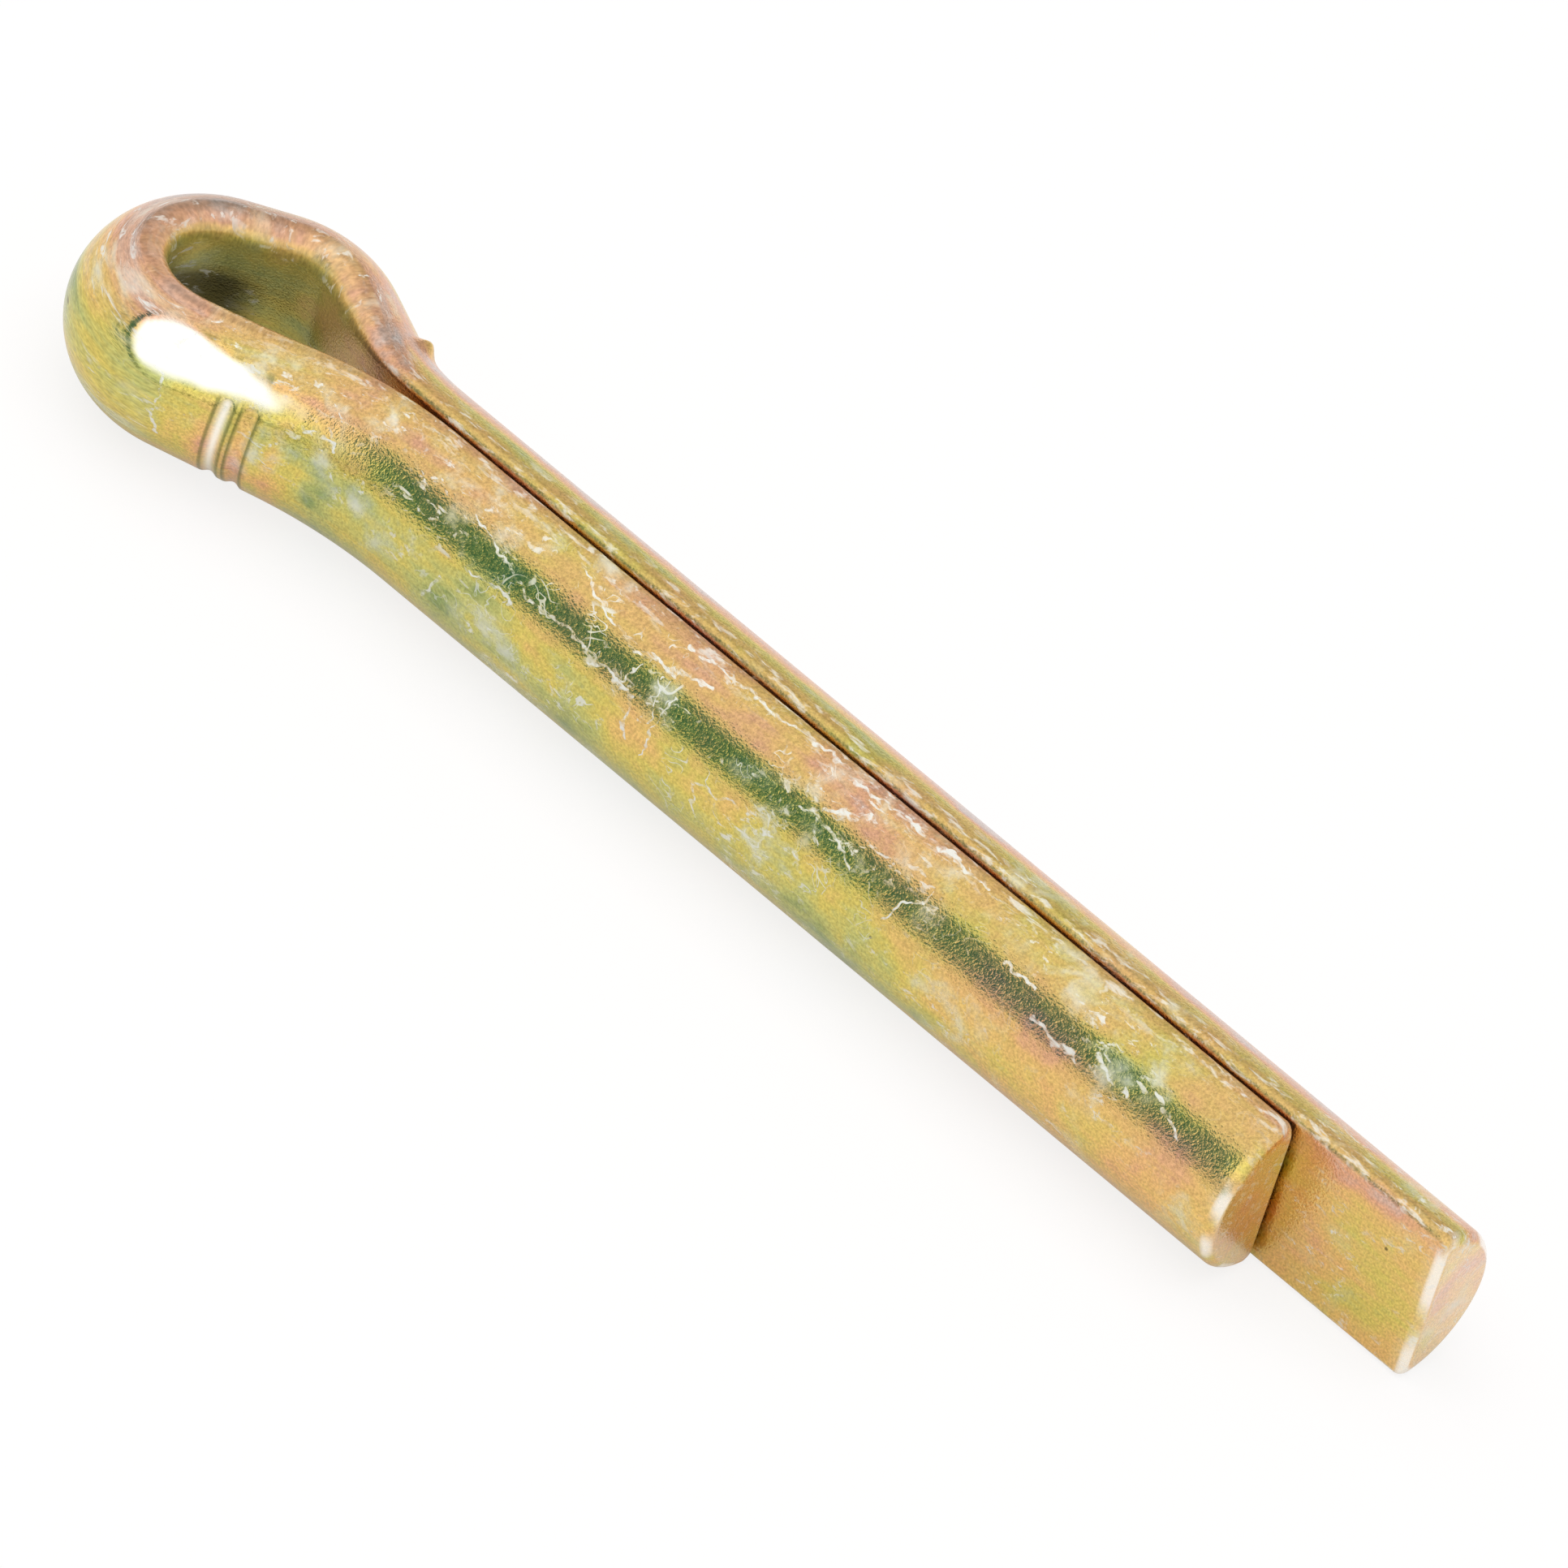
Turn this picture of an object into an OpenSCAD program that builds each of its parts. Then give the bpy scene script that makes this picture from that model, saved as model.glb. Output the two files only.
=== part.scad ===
// Split cotter pin, lying flat on a table: one half-round wire folded into a teardrop eye and two prongs.
// X runs along the shank to the prong tips, Y toward the long prong, Z up. The origin is under the middle
// of the pin, on the surface it lies on. All sizes are in millimetres, all slopes in degrees.

/* [Wire] */

// Diameter of the closed shank, over both half-round prongs
shank_d = 3.05; // [2:0.05:4.5]
// Gap between the flats of the two prongs
prong_gap = 0.08; // [0.02:0.01:0.3]
// Width of the broken edges on either side of the flat
edge_break = 0.15; // [0.05:0.01:0.3]

/* [Prongs] */

// Short prong, from where the prongs close to its tip
short_len = 19; // [8:0.5:60]
// How much further the long prong reaches
long_extra = 3.15; // [1:0.05:6]
// Chamfer round the sheared tips
tip_chamfer = 0.18; // [0.05:0.01:0.35]

/* [Eye] */

// Inside radius at the nose and at the shoulder of the hole
hole_r = 0.85; // [0.6:0.01:1]
// Widest reach of the hole toward the short prong's side, from the middle plane
hole_near = 1.14; // [1.05:0.01:1.5]
// Widest reach of the hole toward the long prong's side, from the middle plane
hole_far = 1.03; // [0.95:0.01:1.4]
// Slope of the back of the eye, from the nose to the shoulder
back_slope = 33.5; // [25:0.5:50]
// Slope of the eye's leg on the short prong's side
near_slope = 18.5; // [15:0.5:26]
// Slope of the eye's leg on the long prong's side
far_slope = 26; // [20:0.5:34]
// Inside radius of the bend from the near leg into the short prong
near_bend_r = 7.2; // [3:0.1:9]
// Inside radius of the bend from the far leg into the long prong
far_bend_r = 2.6; // [1:0.1:5]
// How much thinner the wire gets in its bends, all round
bend_thin = 0.02; // [0.015:0.005:0.04]

/* [Forming marks] */

// Width of each of the two die marks across the near leg
mark_w = 0.3; // [0.1:0.01:0.32]
// Depth of the die marks
mark_depth = 0.06; // [0.02:0.01:0.1]
// Spacing of the die marks along the leg
mark_pitch = 0.41; // [0.34:0.01:0.5]
// Height of the nub that the bending tool raised beside the far leg
nub_h = 0.16; // [0.05:0.01:0.25]
// Depth of the flat that the tool pressed on the upper flank of the near leg
flat_depth = 0.05; // [0.02:0.01:0.1]
// How far that flat is turned down from the top of the wire
flat_turn = 51; // [40:1:56]

/* [Hidden] */

$fn = 96;

plating = [0.80, 0.66, 0.36];

// Wire section: an arc about the shank's axis and a flat half a gap off it, edges broken at 45 degrees
shank_r = shank_d / 2;
half_gap = prong_gap / 2;
wire_t = shank_r - half_gap;
flat_half = shank_r - edge_break;
corner_out = (pow(shank_r, 2) - pow(flat_half, 2) - pow(half_gap, 2)) / (2 * (half_gap + flat_half));
half_h = sqrt(pow(shank_r, 2) - pow(corner_out + half_gap, 2));

// Far side of the eye: the leg runs down from the shoulder and bends into the long prong at x = 0
leg_use = 0.9;
far_leg = (hole_far - hole_r * (1 - cos(far_slope)) - half_gap) / sin(far_slope);
far_r = min(far_bend_r + wire_t, leg_use * far_leg / tan(far_slope / 2));
far_run = far_r * tan(far_slope / 2);
far_straight = far_leg - far_run;
far_top = [-far_run - far_leg * cos(far_slope), half_gap + far_leg * sin(far_slope)];

// Back of the eye: a straight between the arcs of the shoulder and the nose
back_len = (hole_near + hole_far - 2 * hole_r) / sin(back_slope);
shoulder = far_top - hole_r * [sin(far_slope), cos(far_slope)];
nose = shoulder - back_len * [cos(back_slope), sin(back_slope)];

// Near side of the eye: the leg runs from the nose and bends into the short prong
near_leg = (hole_near - hole_r * (1 - cos(near_slope)) - half_gap) / sin(near_slope);
near_r = min(near_bend_r + wire_t, leg_use * near_leg / tan(near_slope / 2));
near_run = near_r * tan(near_slope / 2);
near_straight = near_leg - near_run;
near_top = nose + hole_r * [sin(near_slope), -cos(near_slope)];
near_end = near_top[0] + near_leg * cos(near_slope) + near_run;

// Middle of the pin, which is moved over the origin
back_end = nose[0] - hole_r - wire_t + bend_thin;
middle = [(short_len + long_extra + back_end) / 2, (hole_far - hole_near) / 2];

// Forming marks: the arc that gives the wanted width and depth, and how far round the wire the marks reach
mark_r = (pow(mark_w, 2) / 4 + pow(mark_depth, 2)) / (2 * mark_depth);
mark_from = 20;
mark_sweep = 100;
nub_r = 0.5;
nub_turn = 43;
nub_past = 0.45;
flat_tilt = 2;
flat_past = 0.55;

// How far cutters reach past what they cut, and how far each bend runs on inside the straights beside it
spare = 2;
lap = 0.1;

// Half-round section: the flat lies on x = 0, the round side is toward +x
module wire_section(inset = 0) {
    intersection() {
        translate([-half_gap, 0]) circle(r = shank_r - inset);
        translate([flat_half, 0]) circle(r = flat_half * sqrt(2) - inset);
        translate([inset, -shank_d]) square([shank_d, 2 * shank_d]);
    }
}

// Straight length of wire along +X, with the round side toward +Y
module straight(len) {
    rotate([90, 0, 90]) linear_extrude(len) wire_section();
}

// Arc of the thinned section about the origin, with a lap before its start and after its end
module arc(r, angle) {
    over = lap / r * 180 / PI;
    rotate([0, 0, -over]) rotate_extrude(angle = angle + 2 * over) children();
}

// Steps of the bending plan: the children are the steps that follow, and the round side is on the left

module ahead(len) {
    straight(len);
    translate([len, 0, 0]) children();
}

module bend_left(r, angle) {
    translate([0, r, 0]) {
        rotate([0, 0, -90]) arc(r, angle) translate([r, 0]) mirror([1, 0]) wire_section(bend_thin);
        rotate([0, 0, angle]) translate([0, -r, 0]) children();
    }
}

module bend_right(r, angle) {
    translate([0, -r, 0]) {
        rotate([0, 0, 90 - angle]) arc(r, angle) translate([r, 0]) wire_section(bend_thin);
        rotate([0, 0, -angle]) translate([0, r, 0]) children();
    }
}

// Prong along +X with the round side toward +Y, its tip chamfered all round
module prong(len) {
    difference() {
        straight(len);
        translate([0, -half_gap, 0]) rotate([0, 90, 0]) rotate_extrude()
            polygon([
                [shank_r - tip_chamfer, len],
                [shank_r + spare, len - tip_chamfer - spare],
                [shank_r + spare, len + spare],
                [shank_r - tip_chamfer, len + spare]
            ]);
        translate([0, 0, -shank_d]) linear_extrude(2 * shank_d)
            polygon([
                [len - tip_chamfer - spare, -spare],
                [len + spare, tip_chamfer + spare],
                [len + spare, -spare]
            ]);
    }
}

// Places what it holds on a leg's arc axis, at a point of the leg's flat line, with +Y on the round side
module on_leg(at, heading) {
    translate([at[0], at[1], 0]) rotate([0, 0, heading]) translate([0, -half_gap, 0]) children();
}

// Two shallow grooves across the lower flank of the near leg, with a rib between them
module near_leg_marks() {
    dir = [cos(near_slope), sin(near_slope)];
    first = near_straight - 2 * mark_pitch;
    for (i = [0, 1])
        on_leg(near_top + (first + i * mark_pitch) * dir, near_slope + 180)
            rotate([0, 90, 0]) rotate([0, 0, mark_from]) rotate_extrude(angle = mark_sweep)
                translate([shank_r + mark_r - mark_depth, 0]) circle(r = mark_r);
}

// Flat pressed on the upper flank, deepest toward the nose and running out toward the prong
module pressed_flat() {
    reach = near_straight / 2 + flat_past;
    mid = near_top + near_straight / 2 * [cos(near_slope), sin(near_slope)];
    on_leg(mid, near_slope + 180) rotate([-flat_turn, 0, 0]) translate([0, 0, shank_r - flat_depth])
        rotate([0, flat_tilt, 0]) translate([-reach, -shank_r, 0])
            cube([reach + shank_d, shank_d, spare]);
}

// Low dome on the upper flank of the wire, just past the end of the far leg
module far_nub() {
    on_leg(far_top + (far_straight + nub_past) * [cos(far_slope), -sin(far_slope)], -far_slope)
        rotate([-nub_turn, 0, 0]) translate([0, 0, shank_r + nub_h - nub_r]) sphere(r = nub_r);
}

// The wire from the short prong round the eye to the long prong
module folded_wire() {
    translate([near_end, -half_gap, 0]) {
        rotate([180, 0, 0]) prong(short_len - near_end);
        rotate([0, 0, 180])
            bend_left(near_r, near_slope)
            ahead(near_straight)
            bend_right(hole_r, 180 + near_slope - back_slope)
            ahead(back_len)
            bend_right(hole_r, back_slope + far_slope)
            ahead(far_straight)
            bend_left(far_r, far_slope)
            prong(short_len + long_extra);
    }
}

module cotter_pin() {
    color(plating) translate([-middle[0], -middle[1], half_h])
        difference() {
            union() {
                folded_wire();
                far_nub();
            }
            near_leg_marks();
            pressed_flat();
        }
}

cotter_pin();
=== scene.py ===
import math

import bpy
import numpy as np
from bpy.props import FloatProperty, FloatVectorProperty, PointerProperty
from mathutils import Matrix, Vector, noise


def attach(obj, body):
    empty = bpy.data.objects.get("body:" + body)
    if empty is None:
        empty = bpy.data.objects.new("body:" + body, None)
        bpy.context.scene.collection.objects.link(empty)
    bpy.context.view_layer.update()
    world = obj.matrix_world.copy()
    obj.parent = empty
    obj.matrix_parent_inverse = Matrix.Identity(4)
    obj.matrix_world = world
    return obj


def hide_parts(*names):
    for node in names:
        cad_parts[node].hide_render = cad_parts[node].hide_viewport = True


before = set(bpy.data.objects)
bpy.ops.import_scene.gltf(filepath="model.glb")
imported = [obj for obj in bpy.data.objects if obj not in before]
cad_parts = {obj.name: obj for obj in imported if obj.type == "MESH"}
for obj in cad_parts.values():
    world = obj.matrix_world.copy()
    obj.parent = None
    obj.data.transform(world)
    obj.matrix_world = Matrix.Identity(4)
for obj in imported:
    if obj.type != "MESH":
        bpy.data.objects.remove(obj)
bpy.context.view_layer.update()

bl_info = {
    "name": "Cotter Pin",
    "version": (1, 0, 0),
    "blender": (4, 5, 0),
    "location": "3D View > Sidebar > Cotter Pin",
    "description": "Folds a half-round wire into a split cotter pin and sets it on a pale studio floor",
    "category": "Add Mesh",
}

MM = 0.001
TAB = "Cotter Pin"

# The wire's section: points round its arc, each edge and its flat, how much nearer the flat its centre lies than
# half its thickness, and the half width by which the tips' rounding draws it in, in millimetres
ARC_POINTS, EDGE_POINTS, FLAT_POINTS = 97, 8, 15
CENTRE_OFF = 0.1
TIP_HALF_W = 1.0

# Millimetres from ring to ring along the wire, close in the bends and marks. The tips' rounding has its own rings,
# and the others keep clear of it. Rings nearer than the least are taken as one
RING_PITCH = {"short": 0.2, "long": 0.2, "near_bend": 0.08, "far_bend": 0.06, "near_leg": 0.03, "far_leg": 0.05}
EYE_RING_PITCH = 0.04
TIP_RINGS = 8
TIP_CLEAR = 1.05
RING_LEAST = 1e-4

# The eye, in millimetres: where past the start of the near bend its edges get rounder, how much thinner the nose
# is on its inside, and between which places in the wire's thickness that fades
EYE_LEAD = 0.8
NOSE_THIN = 0.13
NOSE_FADE = (0.7, 0.1)

# Die marks: the degrees up the round side between which they run, with soft ends, how bright a highlight is painted
# on the bottom of each, the widths of the rims' painted shade and the bottoms' painted highlights as shares of half
# a mark, and the power of their profile
DIE_SPAN = (-80, -65, 29, 36)
DIE_HIGHLIGHT = (0.0, 0.9)
DIE_RIM, DIE_BOTTOM = 0.2, 0.5
DIE_PROFILE = 1.5

# Pressed flat: where it faces and how it tilts, in radians, how far from the middle of the leg it may reach toward
# the prong and the nose, in millimetres, how low, in radians, and its burr, in millimetres
FLAT_FACE = math.radians(39)
FLAT_TILT = math.radians(2)
FLAT_BACK, FLAT_ON = 1.5, 3.0
FLAT_LOW = -0.5
BURR_H, BURR_W = 0.014, 0.022

# Bare metal on that flat, its outline partly a painted highlight, in millimetres: how ragged its edge is and how
# many times more below, how it fades at the edge and below, and how its lower edge runs along the wire
RAGGED, RAGGED_BELOW = 0.019, 3
BARE_AND_HIGHLIGHT_EDGE = (-0.002, 0.03)
BARE_AND_HIGHLIGHT_BELOW = (-0.22, 0.02)
BARE_AND_HIGHLIGHT_RUN = 0.13

# The flat's dark rim, painted shade along its edge: its place and width in millimetres, its strength, the degrees
# from which it shows, how far from the leg's start it begins and where at the leg's end it turns the corner, and the
# noise that breaks it
RIM_AT, RIM_W, RIM_DARK = 0.008, 0.01, 0.8
RIM_SIDE = (36, 44)
RIM_LEAD = 0.3
RIM_CORNER = (-0.1, 0.2)
RIM_BREAKS = (-0.15, 0.25)

# Noise cells per millimetre along and per radian round the wire, and per millimetre out, up and along at the tips,
# and where the rim's noise starts
RAGGED_CELLS, RIM_CELLS, TIP_CELLS = (2.6, 5, 0), (2.3, 3.1, 0), (1.7, 1.3, 0.05)
RIM_SHIFT = (0, 0, 4)

# Nub past the far leg, in millimetres and radians
NUB_PAST = 0.45
NUB_FACE = math.radians(47)
NUB_R = 0.17

# Where each colour lies in the film's thickness, from 0 to 1
FILM_STOPS = (
    ("lavender", 0.05),
    ("peach", 0.2),
    ("orange", 0.36),
    ("gold", 0.5),
    ("yellow", 0.64),
    ("olive", 0.78),
    ("green", 0.95),
)

# The film's thickness round the wire: degrees up the round side, and the thickness there
NEAR_FILM = ((-90, -30, 10, 42, 54, 75, 90), (0.55, 0.7, 0.68, 0.6, 0.43, 0.4, 0.33))
EYE_FILM = ((-90, 0, 40, 58, 70, 90), (0.52, 0.72, 0.64, 0.38, 0.29, 0.29))
FAR_FILM = (
    (-90, 0, 46, 54, 60, 65, 68, 73, 79, 90),
    (0.5, 0.5, 0.12, 0.12, 0.2, 0.32, 0.62, 0.62, 0.44, 0.42),
)

# Where the film departs from that, with reaches in millimetres and flanks in degrees: toward the short tip, past
# the near leg, on the flats, on the nub, in rainbow bands by the die marks, on the far leg and on the sheared ends
TIP_LESS, TIP_REACH, TIP_FLANK = 0.24, (7, 3), (50, 30)
EYE_PAST = 0.4
FLAT_FILM, FLAT_EYE_MORE, FLAT_TOP_LESS = 0.51, 0.14, 0.22
FLAT_SKIN, FLAT_TOP = (0.05, 0.0), (0.5, 1.2)
NUB_FILM, NUB_SHARE, NUB_SPREAD = 0.55, 0.4, 0.08
BAND_FILM, BAND_SWING, BAND_PITCH = 0.5, 0.17, 0.62
BAND_SHARE, BAND_REACH, BAND_FLANK = 0.85, 0.85, (40, 20)
FAR_LEG_LESS, FAR_LEG_FLANK = 0.12, (40, 60)
END_FILM, END_SKIN = 0.38, (0.03, 0.0)

# Inside the eye, in millimetres: how far out from the flat it fades, between which heights its plating is matt, the
# shade painted low in it, partly for thin dull plating, and how much more that is at the nose, the heights where the
# painted shade starts and is full, and how much higher at the nose. The rim of the eye's back is painted darker from
# where past the nose's start, and from which degrees
INNER_SKIN = (0.2, 0.0)
MATT_HEIGHT = (-0.3, 1.1)
SHADE, SHADE_NOSE_MORE, NOSE_PAST = 0.2, 0.75, 0.1
SHADE_START, SHADE_FULL, SHADE_NOSE_HIGHER = 0.8, 0.1, 0.2
BACK_RIM, BACK_RIM_LEAD, BACK_RIM_FLANK = 0.34, 0.7, (48, 62)

# Wear, with reaches in millimetres and flanks in degrees: rubbed edges, rubbed tips, bare spots round the tips that
# are partly painted glints, bare ends, and where along the near prong lint gathers and how much there is everywhere
RUB_FLANK, RUB_OFF_FLAT, RUB_EYE_LESS = (64, 80), 0.01, 0.8
TIP_RUB, TIP_RUB_REACH = 0.45, (0.3, 0.05)
TIP_BARE_AND_GLINT, TIP_BARE_AND_GLINT_BREAKS, TIP_BARE_AND_GLINT_SPAN = 0.85, (-0.05, 0.3), (0.0, 0.02, 0.12, 0.22)
END_BARE, END_BARE_SKIN = 0.25, (0.02, 0.0)
LINT_AT, LINT_REACH, LINT_FLANK, LINT_LEAST = 12.0, 5.5, (-40, 5, 70, 86), 0.12

# Noise patterns: cells per millimetre along, out of and up the unbent wire, detail, roughness, distortion and where
# each starts. The grain is really about 0.02 mm and is drawn at 0.05 mm to show in the render
PATTERNS = (
    ("patch", (0.42, 0.8, 0.8), 2.0, 0.5, 0.4, (2.3, 0.0, 0.0)),
    ("cloud", (1.6, 1.6, 1.6), 3.0, 0.6, 0.3, (7.0, 2.0, 1.0)),
    ("band", (0.05, 3.4, 3.4), 3.0, 0.6, 0.0, (3.0, 1.0, 5.0)),
    ("grain", (19.0, 21.0, 21.0), 1.0, 0.7, 0.0, (0.0, 0.0, 0.0)),
    ("haze", (0.55, 0.8, 0.8), 2.0, 0.55, 0.3, (11.0, 4.0, 2.0)),
    ("stroke", (3.2, 6.0, 6.0), 3.0, 0.7, 0.6, (5.0, 9.0, 1.0)),
    ("edge_wear", (1.8, 6.0, 6.0), 3.0, 0.7, 0.4, (1.0, 2.0, 3.0)),
    ("hair", (0.9, 1.2, 1.2), 2.0, 0.5, 1.0, (4.0, 6.0, 8.0)),
    ("curl", (2.4, 2.4, 2.4), 1.0, 0.5, 1.4, (9.0, 3.0, 5.0)),
    ("wander", (2.4, 2.4, 2.4), 2.0, 0.6, 0.0, (6.0, 2.0, 4.0)),
)
PITS_PER_MM = 1.1
BUMP_H = 0.0065

# Powdery strands on the near prong and by the die marks: where each runs from and to, in millimetres along the
# wire and degrees up its round side, and its width in millimetres
STRANDS = (
    (13.0, 27, 15.2, 35, 0.07),
    (15.2, 35, 16.8, 52, 0.05),
    (12.0, 60, 13.4, 50, 0.08),
    (13.4, 50, 15.1, 70, 0.06),
    (13.0, 27, 12.8, 4, 0.06),
    (12.3, 44, 12.4, 0, 0.03),
    (12.7, 50, 12.5, 22, 0.03),
    (13.1, 50, 13.3, 30, 0.03),
    (15.5, 27, 16.4, 24, 0.05),
    (16.8, 5, 17.0, -14, 0.09),
    (8.6, 62, 9.6, 40, 0.08),
    (8.3, 32, 9.4, 46, 0.07),
    (7.0, 55, 7.45, 22, 0.04),
    (6.4, 78, 12.8, 76, 0.07),
    (10.4, 17, 11.3, 12, 0.06),
    (11.3, 12, 11.2, -8, 0.05),
    (9.2, 18, 10.0, 14, 0.09),
    (22.6, 66, 22.85, 46, 0.07),
    (22.85, 30, 22.75, 8, 0.05),
    (22.7, 0, 22.5, -22, 0.08),
    (20.3, 36, 19.6, 31, 0.08),
    (5.3, 50, 4.7, 46, 0.08),
    (4.4, 34, 3.5, 30, 0.09),
    (3.1, 40, 2.4, 32, 0.09),
    (2.0, 44, 1.3, 34, 0.1),
)

# The skin that the strands lie on: the radius that turns its angles into millimetres, and how far off it the flats
# are put, so that no strand reaches them
SKIN_R = 1.525
OFF_SKIN = 9

# Corners of the sweep's faces, apart from its two ends
QUAD = 4

# The stage, in metres: half the floor's side, its paint, how much plain white it shows to the camera and in gloss,
# the room's white as a light, and the overhead lamp
FLOOR_HALF = 2.0
FLOOR_PAINT = "F6F0EE"
FLOOR_SEEN, FLOOR_GLOSS = 0.82, 0.3
ROOM_LIGHT = 0.55
LAMP_SIZE = (0.5, 0.4)
LAMP_AT = (-0.08, -0.03, 0.3)

# Cards beside the pin, upright along X: place in Y, left and right, low and high, in metres, colour and strength
CARDS = (
    ("near_card", -0.2, -0.19, -0.06, 0.037, 0.256, "307C8B", 1.0),
    ("low_card", -0.2, -0.06, 0.6, 0.02, 0.045, "AAB390", 1.0),
    ("softbox", -0.21, -0.05, 0.6, 0.1, 0.34, "FFFFFC", 1.35),
    ("back_card", 0.2, -0.5, 0.2, 0.03, 0.45, "D7D4CE", 1.0),
)

# The camera: which way is right in its view and which way it stands from the pin, its aim and its sensor, in mm
VIEW_RIGHT = (0.7147, 0.6552, 0.2446)
VIEW_FROM = (0.3716, -0.6521, 0.6610)
VIEW_AIM = (0.376, 0.070, 1.513)
SENSOR_W = 36.0

# Sockets that share their names with others: of a map range, and of a colour mix
FROM, UPTO, LOW, HIGH = 1, 2, 3, 4
SHARE, UNDER, OVER = 0, 6, 7
SOFT = {"interpolation_type": "SMOOTHSTEP"}


def size(name, text, mm):
    """A length property, in metres, from its default in millimetres."""
    return FloatProperty(name=name, description=text, default=mm * MM, min=0, unit="LENGTH", precision=6)


def slope(name, text, degrees):
    """An angle property from its default in degrees."""
    angle = math.radians(degrees)
    return FloatProperty(name=name, description=text, default=angle, subtype="ANGLE", unit="ROTATION")


def linear(code):
    """Linear colour, with alpha, of an sRGB hex value such as "E0B860"."""
    parts = [int(code[i : i + 2], 16) / 255 for i in (0, 2, 4)]
    return tuple(c / 12.92 if c <= 0.04045 else ((c + 0.055) / 1.055) ** 2.4 for c in parts) + (1.0,)


def film(name, text, code):
    """A colour property from its default as an sRGB hex value."""
    colour = linear(code)
    return FloatVectorProperty(name=name, description=text, default=colour, size=4, subtype="COLOR", min=0, max=1)


class WireSizes(bpy.types.PropertyGroup):
    """Sizes of the folded wire, as in the part's source."""

    shank_d: size("Shank diameter", "Over both half-round prongs", 3.05)
    prong_gap: size("Prong gap", "Between the flats of the two prongs", 0.08)
    edge_r: size("Edge radius", "Rounding along both edges of the prongs' flats", 0.16)
    eye_edge_r: size("Eye edge radius", "Rounding along both edges of the flat inside the eye", 0.38)
    short_len: size("Short prong", "From where the prongs close to its tip", 19)
    long_extra: size("Long prong extra", "How much further the long prong reaches", 3.15)
    tip_r: size("Tip rounding", "Rounding round the sheared tips", 0.2)
    hole_r: size("Hole radius", "Inside radius at the nose and the shoulder of the eye", 0.85)
    hole_near: size("Hole, near side", "Widest reach of the hole toward the short prong", 1.14)
    hole_far: size("Hole, far side", "Widest reach of the hole toward the long prong", 1.03)
    back_slope: slope("Back slope", "Of the eye's back, from the nose to the shoulder", 33.5)
    near_slope: slope("Near leg slope", "Of the eye's leg on the short prong's side", 18.5)
    far_slope: slope("Far leg slope", "Of the eye's leg on the long prong's side", 26)
    near_bend_r: size("Near bend radius", "Inside the bend into the short prong", 7.2)
    far_bend_r: size("Far bend radius", "Inside the bend into the long prong", 2.6)
    mark_w: size("Die mark width", "Of each groove across the near leg", 0.3)
    mark_depth: size("Die mark depth", "Of the grooves across the near leg", 0.06)
    mark_pitch: size("Die mark pitch", "From groove to groove along the near leg", 0.41)
    nub_h: size("Nub height", "Of the nub that the bending tool raised past the far leg", 0.16)
    flat_depth: size("Pressed flat depth", "Of the flat on the near leg's upper flank", 0.05)


class FilmColours(bpy.types.PropertyGroup):
    """Colours of the chromate film, from its thinnest to its thickest, and of its wear, some of which also paint
    shade and highlights.
    """

    lavender: film("Lavender", "Thinnest film", "CBBBB4")
    peach: film("Peach", "Thin film in patches", "DDA987")
    orange: film("Orange", "Film on the upper flanks", "E3B978")
    gold: film("Gold", "Most of the film", "DFBF72")
    yellow: film("Yellow", "Thicker film", "D4C468")
    olive: film("Olive", "Thick film in bands and patches", "BFBF74")
    green: film("Green", "Thickest film", "8FA066")
    scuff: film("Scuff", "Rubbed and powdery places", "E3E6E0")
    # Bare also paints highlights on the pressed flat and in the die marks, and glints round the tips
    bare_metal_and_highlight: film("Bare", "Metal that the tool pressed bright", "FBFAF2")
    # Pit also paints the shade low inside the eye and the darker rim of its back
    pit_and_shade: film("Pit", "Small dark pits, and shade inside the eye", "4A4526")
    # Rim paints shade along the rims of the tool's marks
    rim: film("Rim", "Dark rims of the tool's marks", "58632F")


class StageLook(bpy.types.PropertyGroup):
    """Light and camera."""

    lens: FloatProperty(name="Lens", description="Focal length in mm", default=1200.0, min=50, unit="CAMERA")
    width: size("View width", "Width of what the camera sees, at the pin", 24.33)
    key_power: FloatProperty(
        name="Overhead lamp", description="Power of the overhead lamp", default=1.0, min=0, unit="POWER"
    )


def add(tree, kind, inputs=None, **settings):
    """Adds a node with its settings. An input takes a value, a socket, or a node for its first output in use."""
    node = tree.nodes.new(kind)
    for key, value in settings.items():
        setattr(node, key, value)
    for key, value in (inputs or {}).items():
        if isinstance(value, bpy.types.Node):
            value = next(socket for socket in value.outputs if socket.enabled)
        if isinstance(value, bpy.types.NodeSocket):
            tree.links.new(value, node.inputs[key])
        else:
            node.inputs[key].default_value = value
    return node


def empty_tree(owner):
    """The node tree of a new material or world, with nothing in it."""
    owner.use_nodes = True
    owner.node_tree.nodes.clear()
    return owner.node_tree


def put(name, data):
    """A new object in the scene."""
    thing = bpy.data.objects.new(name, data)
    bpy.context.scene.collection.objects.link(thing)
    return thing


def in_mm(group):
    """The group's lengths in millimetres and its angles in radians, by name."""
    out = {}
    for name, prop in group.bl_rna.properties.items():
        if prop.type == "FLOAT" and not prop.is_array:
            out[name] = getattr(group, name) / (MM if prop.unit == "LENGTH" else 1)
    return out


def smoothstep(low, high, x):
    """0 at low, 1 at high and smooth between, where low may be the larger."""
    t = np.clip((x - low) / (high - low), 0, 1)
    return t * t * (3 - 2 * t)


def plateau(x, start, full, ease, end):
    """Rises from start to full and falls from ease to end."""
    return smoothstep(start, full, x) * smoothstep(end, ease, x)


def bell(x, width):
    """1 at 0, and fading to both sides."""
    return np.exp(-((x / width) ** 2))


def mix(a, b, share):
    """From a to b by a share."""
    return a + share * (b - a)


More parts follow.
